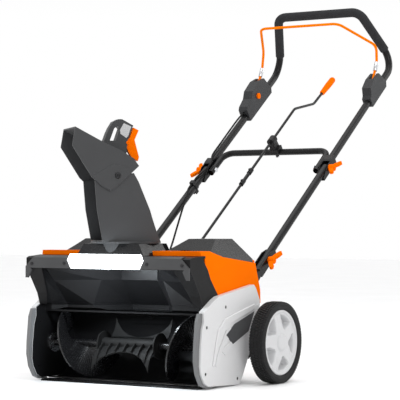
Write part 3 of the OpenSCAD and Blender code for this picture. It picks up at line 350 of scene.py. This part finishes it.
KNOBS = ["knob_upper_left", "knob_upper_right", "knob_lower_left", "knob_lower_right"]
NODE_MATERIALS = {
    HOUSING: ["auger_housing", "scroll_shell", "rear_frame", "light_housing"],
    LID: ["battery_lid_left", "battery_lid_right", "chute_base"],
    HEADER: ["header_plate"],
    CHUTE: ["chute_body", "chute_gear", "deflector"],
    GRIP: ["deflector_grip"],
    ORANGE: ["hood_shell", "deflector_trigger", "crank_grip", "safety_button"] + KNOBS,
    COVER: ["side_cover_left", "side_cover_right"],
    GUARD: ["edge_guards"],
    BADGE: ["badge_plates"],
    LENS: ["light_lens"],
    BLACK: ["battery_packs", "crank_bracket", "cable_clip", "light_button", "auger_pulley"],
    BOARD: ["control_board"],
    PAINT: ["scraper_bar", "handle_socket_left", "handle_socket_right", "crank_rod",
            "lower_tube_left", "lower_tube_right", "crossbar", "upper_handle"],
    AUGER: ["auger_shaft", "auger_flights"],
    DARK_STEEL: ["housing_screws"],
    BAIL: ["bail_lever"],
    STEEL: ["handle_bolts", "auger_bearings", "axle", "turn_shaft", "motor_can", "motor_rotor"],
    RUBBER: ["drive_belt", "cable_upper", "cable_lower", "auger_paddle"],
    FOAM: ["foam_grip"],
    BOX: ["switch_box_left", "switch_box_right"],
    TYRE: ["tyre_left", "tyre_right"],
    RIM: ["rim_left", "rim_right"],
}


def finish_nodes():
    for material, names in NODE_MATERIALS.items():
        for name in names:
            mesh = nodes[name].data
            mesh.materials.clear()
            mesh.materials.append(material)


# How far the edges of CAD nodes are rounded, in metres
EDGE_ROUNDING = {
    0.004: ["hood_shell"],
    0.003: ["chute_base", "rear_frame", "switch_box_left", "switch_box_right"],
    0.0025: ["deflector_grip"] + KNOBS,
    0.002: ["battery_lid_left", "battery_lid_right", "battery_packs"],
    0.0018: ["side_cover_left", "side_cover_right"],
    0.0015: ["auger_housing", "deflector_trigger", "crank_bracket"],
    0.0012: ["header_plate", "deflector", "chute_body"],
    0.001: ["scroll_shell", "edge_guards"],
    0.0008: ["auger_paddle", "auger_flights", "handle_socket_left", "handle_socket_right",
             "scraper_bar", "light_housing", "light_lens"],
    0.0006: ["badge_plates"],
}
FLAT_ANGLE = math.radians(0.6)
SHARP_ANGLE = math.radians(28)
ROUNDING_STEPS = 3


def add_rounding(thing, width, angle):
    """Rounds the edges that are sharper than the angle, and keeps flat faces flat to the eye."""
    bevel = thing.modifiers.new("edges", "BEVEL")
    bevel.width = width
    bevel.segments = ROUNDING_STEPS
    bevel.limit_method = "ANGLE"
    bevel.angle_limit = angle
    flat_shading(thing)


def flat_shading(thing):
    thing.modifiers.new("normal", "WEIGHTED_NORMAL").keep_sharp = True


def round_edges():
    for width, names in EDGE_ROUNDING.items():
        for name in names:
            flat = nodes[name].modifiers.new("flat", "DECIMATE")
            flat.decimate_type = "DISSOLVE"
            flat.angle_limit = FLAT_ANGLE
            add_rounding(nodes[name], width, SHARP_ANGLE)


finish_nodes()
round_edges()

# ---------------------------------------------------------------- added pieces

MM = 0.001
PIECE_SHARP_ANGLE = math.radians(30)


def add_piece(name, points, faces, material, body, replaced=(), smooth=True, bevel=0.0):
    """A closed mesh, with points in metres. It rides on one CAD body, unless body is None."""
    mesh = bpy.data.meshes.new(name)
    mesh.from_pydata([tuple(p) for p in points], [], faces)
    work = bmesh.new()
    work.from_mesh(mesh)
    bmesh.ops.recalc_face_normals(work, faces=work.faces)
    work.to_mesh(mesh)
    work.free()
    mesh.materials.append(material)
    piece = bpy.data.objects.new(name, mesh)
    bpy.context.scene.collection.objects.link(piece)
    if smooth:
        mesh.shade_smooth()
    if bevel:
        add_rounding(piece, bevel, PIECE_SHARP_ANGLE)
    if body:
        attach(piece, body)
    if replaced:
        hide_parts(*replaced)
    return piece


def grid_faces(rows, around, closed_rows=False):
    """Quads between rings of points that each go once round."""
    faces = []
    for i in range(rows if closed_rows else rows - 1):
        j = (i + 1) % rows
        for k in range(around):
            m = (k + 1) % around
            faces.append((i * around + k, i * around + m, j * around + m, j * around + k))
    return faces


def sweep(points, radius, sides):
    """The points and faces of a round bar along a route."""
    route = [Vector(p) for p in points]
    rings = []
    side = Vector((1, 0, 0))
    for i, here in enumerate(route):
        before = route[max(i - 1, 0)]
        after = route[min(i + 1, len(route) - 1)]
        along = (after - before).normalized()
        side = (side - along * side.dot(along)).normalized()
        up = along.cross(side)
        for k in range(sides):
            angle = 2 * math.pi * k / sides
            rings.append(here + radius * (math.cos(angle) * side + math.sin(angle) * up))
    faces = grid_faces(len(route), sides)
    faces.append(tuple(range(sides)))
    last = (len(route) - 1) * sides
    faces.append(tuple(range(last, last + sides)))
    return rings, faces


def smooth_route(points, steps):
    """A smooth line through the points."""
    path = [Vector(p) for p in points]
    line = []
    for i in range(len(path) - 1):
        p0, p1, p2 = path[max(i - 1, 0)], path[i], path[i + 1]
        p3 = path[min(i + 2, len(path) - 1)]
        for k in range(steps):
            t = k / steps
            line.append(0.5 * (2 * p1 + (p2 - p0) * t
                               + (2 * p0 - 5 * p1 + 4 * p2 - p3) * t * t
                               + (3 * p1 - p0 - 3 * p2 + p3) * t ** 3))
    line.append(path[-1])
    return line


def turned(name, profile, centre, axis, material, body, around=32):
    """A turned piece. The profile is (radius, distance along the axis) in mm, from end to end."""
    axis = Vector(axis).normalized()
    side = axis.orthogonal().normalized()
    up = axis.cross(side)
    points = []
    for radius, along in profile:
        for k in range(around):
            angle = 2 * math.pi * k / around
            spoke = math.cos(angle) * side + math.sin(angle) * up
            points.append(Vector(centre) + MM * (along * axis + radius * spoke))
    faces = grid_faces(len(profile), around)
    faces.append(tuple(range(around)))
    last = (len(profile) - 1) * around
    faces.append(tuple(range(last, last + around)))
    add_piece(name, points, faces, material, body)


def slab(name, outline, place, low, high, material, body, slot, bevel):
    """A flat piece: an outline of (a, b) in mm, solid from low to high, by place(a, b, height)."""
    count = len(outline)
    points = [place(a, b, low) for a, b in outline] + [place(a, b, high) for a, b in outline]
    faces = [tuple(range(count)), tuple(range(count, 2 * count))]
    faces += [(i, (i + 1) % count, count + (i + 1) % count, count + i) for i in range(count)]
    return add_piece(name, points, faces, material, body, smooth=False, bevel=bevel)


def smoothstep(value):
    value = max(0.0, min(1.0, value))
    return value * value * (3 - 2 * value)


# ---- Wheels ----

SIDES = {"left": -1, "right": 1}

# Profiles are (mm from the wheel's axis, mm outwards from its inner face)
TYRE_PROFILE = [
    (85, 5), (88, 2.2), (93, 0.6), (99, 0.3), (102.5, 1.8), (104.0, 5), (104.3, 10),
    (104.3, 34), (104.0, 39), (102.5, 42.2), (99.5, 43.7), (97.8, 43.8), (97.1, 43.0),
    (95.6, 43.0), (94.9, 43.6), (91, 43.0), (87.5, 41.6), (86.3, 40.0), (85, 37),
]
AROUND_TYRE = 120

# Rows of blocks: (middle, width, mm from the axis to the top)
TREAD_ROWS = [
    (5.0, 6.4, 105.6), (13.2, 6.6, 107.0), (22.0, 7.2, 107.0), (30.8, 6.6, 107.0),
    (39.0, 6.4, 105.6),
]
MIDDLE_ROW = 2
TREAD_BLOCKS = 84
TREAD_FOOT = 102.8
TREAD_FILL = 0.68
TREAD_LEAN = 0.25
TREAD_CHAMFER, TREAD_TOP_SHRINK = 0.5, 0.8
TREAD_SHARP_ANGLE = math.radians(35)
BLOCK_CORNERS = ((-1, -1), (1, -1), (1, 1), (-1, 1))


def wheel_place(word):
    """The wheel's inner face and the middle of its axis, (y, z), in metres."""
    low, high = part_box("tyre_" + word)
    return min(abs(low[0]), abs(high[0])), ((low[1] + high[1]) / 2, (low[2] + high[2]) / 2)


def wheel_point(side, inner, centre, radius, angle, along):
    """A point in metres from mm and an angle; along runs outwards from the wheel's inner face."""
    return (side * (inner + MM * along), centre[0] + MM * radius * math.cos(angle),
            centre[1] + MM * radius * math.sin(angle))


def add_block(points, faces, row, block, wheel):
    """One block of the tread, with a chamfered top. The outer rows lean opposite ways."""
    middle, width, top = TREAD_ROWS[row]
    angle = 2 * math.pi * (block + 0.5 * (row % 2)) / TREAD_BLOCKS
    half = math.radians(180 / TREAD_BLOCKS) * TREAD_FILL
    way = 1 if row < MIDDLE_ROW else -1 if row > MIDDLE_ROW else 0
    start = len(points)
    levels = ((TREAD_FOOT, 1.0), (top - TREAD_CHAMFER, 1.0), (top, TREAD_TOP_SHRINK))
    for radius, shrink in levels:
        for a, b in BLOCK_CORNERS:
            turn = angle + a * half * shrink + TREAD_LEAN * half * b * way
            points.append(wheel_point(*wheel, radius, turn, middle + b * width / 2 * shrink))
    for low in (start, start + 4):
        for k in range(4):
            m = (k + 1) % 4
            faces.append((low + k, low + m, low + 4 + m, low + 4 + k))
    faces.append((start, start + 1, start + 2, start + 3))
    faces.append((start + 8, start + 9, start + 10, start + 11))


def make_tyre(word, side):
    wheel = (side, *wheel_place(word))
    points = []
    for radius, along in TYRE_PROFILE:
        for k in range(AROUND_TYRE):
            points.append(wheel_point(*wheel, radius, 2 * math.pi * k / AROUND_TYRE, along))
    faces = grid_faces(len(TYRE_PROFILE), AROUND_TYRE, closed_rows=True)
    for row in range(len(TREAD_ROWS)):
        for block in range(TREAD_BLOCKS):
            add_block(points, faces, row, block, wheel)
    piece = add_piece("tread_" + word, points, faces, TYRE, "wheel_" + word,
                      ["tyre_" + word])
    flat_shading(piece)
    piece.data.set_sharp_from_angle(angle=TREAD_SHARP_ANGLE)


# The rim's face, from the hub cap outwards and back round behind it
HUB_FACE = [
    (12, 43.7), (18, 43.3), (20.5, 42.0), (21.5, 39.6), (23.5, 38.4), (25, 38.6), (28, 39.0),
]
SPOKE_RINGS = [29 + 1.1 * i for i in range(44)]
RIM_EDGE = [
    (77.5, 36.2), (78.5, 38.0), (79.5, 39.2), (81, 39.8), (83.2, 39.8), (84.4, 39.3), (85, 38.3),
]
RIM_BACK = [(85, 5), (70, 5), (67, 12), (6.4, 12), (6.4, 43.1)]
AROUND_RIM = 300
RIM_SHARP_ANGLE = math.radians(50)

# Its spokes, and the pockets between them, in mm and degrees
FACE_HEIGHT, FACE_FALL, FACE_START, FACE_WIDTH = 39.0, 3.4, 28, 48
POCKETS, POCKET_DEPTH, POCKET_WALL = 5, 19.0, 4.2
POCKET_START = math.radians(-5)
POCKET_LOW, POCKET_HIGH = 37.0, 73.5
POCKET_HALF, POCKET_WIDENING, WIDENING_LEAD, WIDENING_LENGTH = 7, 15.5, 4, 30
LIP_HEIGHT, LIP_OFFSET, LIP_WIDTH = 0.8, 4, 6
LIP_START, LIP_RISE, LIP_END = 34, 8, 76


def spoke_height(radius, angle):
    """Height of the rim's face: it rises towards the hub, with pockets that have a low lip."""
    face = FACE_HEIGHT - FACE_FALL * smoothstep((radius - FACE_START) / FACE_WIDTH)
    turn = (angle - POCKET_START) % (2 * math.pi / POCKETS)
    off = min(turn, 2 * math.pi / POCKETS - turn)
    widening = smoothstep((radius - POCKET_LOW + WIDENING_LEAD) / WIDENING_LENGTH)
    across = radius * (math.radians(POCKET_HALF + POCKET_WIDENING * widening) - off)
    if radius < LIP_END:
        lip = smoothstep((LIP_WIDTH - abs(across + LIP_OFFSET)) / LIP_WIDTH)
        face += LIP_HEIGHT * lip * smoothstep((radius - LIP_START) / LIP_RISE)
    depth = min(across, radius - POCKET_LOW, POCKET_HIGH - radius)
    return face - POCKET_DEPTH * smoothstep(depth / POCKET_WALL)


def make_rim(word, side):
    wheel = (side, *wheel_place(word))
    angles = [2 * math.pi * k / AROUND_RIM for k in range(AROUND_RIM)]
    rings = [(r, [z] * AROUND_RIM) for r, z in HUB_FACE]
    rings += [(r, [spoke_height(r, angle) for angle in angles]) for r in SPOKE_RINGS]
    rings += [(r, [z] * AROUND_RIM) for r, z in RIM_EDGE + RIM_BACK]
    points = []
    for radius, heights in rings:
        for angle, height in zip(angles, heights):
            points.append(wheel_point(*wheel, radius, angle, height))
    faces = grid_faces(len(rings), AROUND_RIM)
    faces.append(tuple(range(AROUND_RIM)))
    last = (len(rings) - 1) * AROUND_RIM
    faces.append(tuple(range(last, last + AROUND_RIM)))
    piece = add_piece("spokes_" + word, points, faces, RIM, "wheel_" + word,
                      ["rim_" + word])
    piece.data.set_sharp_from_angle(angle=RIM_SHARP_ANGLE)


for word, side in SIDES.items():
    make_tyre(word, side)
    make_rim(word, side)

# ---- Handle ----

SLOPE = math.radians(36.4)
HANDLE_UP = Vector((0, -math.sin(SLOPE), math.cos(SLOPE)))
FOLD = (750.0, 579.0)
TUBE_X = 203.0


def in_handle(x, s, v):
    """A point in metres: s mm up along the handle's tubes from the fold axis, v mm square to it."""
    return (MM * x, MM * (FOLD[0] + s * math.cos(SLOPE) - v * math.sin(SLOPE)),
            MM * (FOLD[1] + s * math.sin(SLOPE) + v * math.cos(SLOPE)))


# At the fold the cable passes beside the tubes, so that they don't pinch it when the handle folds
CABLE_ON_HANDLE = [
    (-203, 294, 17.2), (-203, 265, 19.5), (-203, 235, 20.6), (-203, 180, 20.0), (-203, 120, 18.8),
    (-203, 60, 17.2), (-190, 27, 18.0), (-185, 14, 19.0), (-184, 0, 19.4), (-185, -14, 18.8),
    (-189, -27, 17.4), (-202, -56, 14.6), (-203, -76, 14.2), (-203, -110, 14.2),
    (-199, -128, 14.2), (-189, -152, 13.5), (-182, -205, 4), (-180, -262, -19),
]
CABLE_BELOW = [
    (-0.178, 0.516, 0.352), (-0.1765, 0.478, 0.302), (-0.175, 0.440, 0.266),
    (-0.173, 0.400, 0.244), (-0.172, 0.360, 0.2365), (-0.172, 0.310, 0.236),
    (-0.172, 0.262, 0.236),
]
CABLE_RADIUS = 0.0028
CABLE_SIDES = 12
CABLE_STEPS = 6


def make_cable():
    route = [in_handle(*point) for point in CABLE_ON_HANDLE] + CABLE_BELOW
    points, faces = sweep(smooth_route(route, CABLE_STEPS), CABLE_RADIUS, CABLE_SIDES)
    piece = add_piece("control_cable", points, faces, RUBBER, None,
                      ["cable_upper", "cable_lower"])
    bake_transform(piece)


BAIL_PIVOT = Vector(in_handle(0, 410, 34))
BAIL_NECK = Vector((0, 1.091, 0.912))
SLEEVE_START, SLEEVE_END = 0.58, 1.02
SLEEVE_BORE, SLEEVE_RADIUS = 4.1, 6.3


def make_bail_sleeves():
    """Bright sleeves on the bail's arms, set by how far they lie from its pivot to its neck."""
    low = BAIL_PIVOT + SLEEVE_START * (BAIL_NECK - BAIL_PIVOT)
    high = BAIL_PIVOT + SLEEVE_END * (BAIL_NECK - BAIL_PIVOT)
    axis = high - low
    length = axis.length / MM
    profile = [(SLEEVE_BORE, 0), (6.0, 0.2), (SLEEVE_RADIUS, 0.8), (SLEEVE_RADIUS, length - 1.2),
               (6.0, length - 0.3), (5.2, length), (SLEEVE_BORE, length)]
    for word, side in SIDES.items():
        start = Vector((side * TUBE_X * MM, low[1], low[2]))
        turned("bail_sleeve_" + word, profile, start, axis, STEEL, "bail")


def bolt_profile(radius, height):
    """A domed head with a recess, from its seat up and back down into the recess."""
    return [(0.01, 0), (radius * 0.98, 0), (radius, 0.15 * height), (radius * 0.9, 0.7 * height),
            (radius * 0.66, height), (radius * 0.45, height), (radius * 0.42, 0.45 * height),
            (0.01, 0.45 * height)]


# Heads: (radius, height) in mm
BRACKET_NUT, TUBE_BOLT, KNOB_CAP = (6.2, 4.6), (3.4, 2.0), (6.4, 3.0)
PIVOT_HEAD, TRIGGER_PIN = (8.2, 4.0), (4.6, 2.0)
NUT_PLACE = (0, 88, -14.2)
TUBE_BOLT_PLACE = (530, 11.0)
KNOB_X = TUBE_X + 29.4
KNOB_PLACES = {"fold": 0, "socket": -441}
KNOB_BODIES = {"fold_left": "knob_ul", "fold_right": "knob_ur",
               "socket_left": "knob_ll", "socket_right": "knob_lr"}


def make_handle_bolts():
    turned("bracket_nut", bolt_profile(*BRACKET_NUT), in_handle(*NUT_PLACE), -HANDLE_UP,
           STEEL, "chassis", around=6)
    for word, side in SIDES.items():
        turned("tube_bolt_" + word, bolt_profile(*TUBE_BOLT),
               in_handle(side * TUBE_X, *TUBE_BOLT_PLACE), HANDLE_UP,
               STEEL, "handle", around=20)
        for name, s in KNOB_PLACES.items():
            knob = name + "_" + word
            turned("knob_cap_" + knob, bolt_profile(*KNOB_CAP), in_handle(side * KNOB_X, s, 0),
                   (side, 0, 0), ORANGE, KNOB_BODIES[knob], around=24)


make_cable()
make_bail_sleeves()
make_handle_bolts()

# ---- Chute ----

CHUTE_TURN = math.radians(-41)
CHUTE_SIDE = Vector((math.cos(CHUTE_TURN), math.sin(CHUTE_TURN), 0))
CHUTE_Y = 20.0

# Outlines are (forward, z) in the chute's frame; layers are mm out from its middle
CHEEK = [
    (106, 537), (50.5, 570), (27, 565.5), (6, 557), (4, 546), (41, 513.5), (58.5, 502.5),
    (80.5, 514.5),
]
CHEEK_LAYER = (68.4, 69.9)
GRIP_PANEL = [(8.6, 678), (-12, 669), (-8, 660), (-4, 646), (1.5, 639), (17.5, 649.5), (19, 660)]
GRIP_LAYER = (13.6, 14.6)
PIVOT_PLACE = (38.6, 540)
PIN_OUT, PIN_PLACE = 13.9, (-2, 627)


def in_chute(x, forward, z):
    """A point in metres from the chute's frame in mm: x across it, forward the way it throws."""
    return (MM * (x * math.cos(CHUTE_TURN) + forward * math.sin(CHUTE_TURN)),
            MM * (CHUTE_Y + x * math.sin(CHUTE_TURN) - forward * math.cos(CHUTE_TURN)), MM * z)


def make_chute_details():
    for word, side in SIDES.items():
        def on_side(a, b, height, side=side):
            return in_chute(side * height, a, b)

        slab("deflector_cheek_" + word, CHEEK, on_side, *CHEEK_LAYER,
             CHUTE, "deflector_hood", "chute_plastic", bevel=0.0006)
        slab("grip_panel_" + word, GRIP_PANEL, on_side, *GRIP_LAYER,
             PANEL, "deflector_hood", "guard_plastic", bevel=0.0004)
        turned("deflector_pivot_" + word, bolt_profile(*PIVOT_HEAD),
               in_chute(side * CHEEK_LAYER[1], *PIVOT_PLACE), side * CHUTE_SIDE,
               DARK_STEEL, "deflector_hood")
        turned("trigger_pin_" + word, bolt_profile(*TRIGGER_PIN),
               in_chute(side * PIN_OUT, *PIN_PLACE), side * CHUTE_SIDE,
               ORANGE, "deflector_hood")


make_chute_details()

# ---- Lamp lens and the side covers' ridges ----

# Outlines are (x, z) for the lens and (y, z) for the ridges; layers are mm out from what is behind
LENS_OUTLINE = [(-107, 301.5), (107, 301.5), (118, 323), (110, 338.3), (-110, 338.3), (-118, 323)]
LENS_LAYER = (0.2, 4.6)
COVER_RIDGE = [
    (10, 58), (17, 80), (27, 119), (37, 147), (70, 175), (150, 193), (222, 208), (222, 193),
    (124, 168), (99, 161), (68, 141), (46, 112), (30, 85), (21, 60),
]
RIDGE_LAYER = (-1.0, 4.0)
RIDGE_ON_COVER = 0.002


def make_front_details():
    lens_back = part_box("light_lens")[1][1]

    def on_header(a, b, height):
        return (MM * a, lens_back - MM * height, MM * b)

    lens = slab("lamp_lens", LENS_OUTLINE, on_header, *LENS_LAYER,
                LENS, "chassis", "lens", bevel=0.0008)
    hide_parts("light_lens")
    for word, side in SIDES.items():
        cover_low, cover_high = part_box("side_cover_" + word)
        face = max(abs(cover_low[0]), abs(cover_high[0])) - RIDGE_ON_COVER

        def on_cover(a, b, height, side=side, face=face):
            return (side * (face + MM * height), MM * a, MM * b)

        slab("cover_ridge_" + word, COVER_RIDGE, on_cover, *RIDGE_LAYER,
             COVER, "chassis", "cover_plastic", bevel=0.0028)


make_front_details()
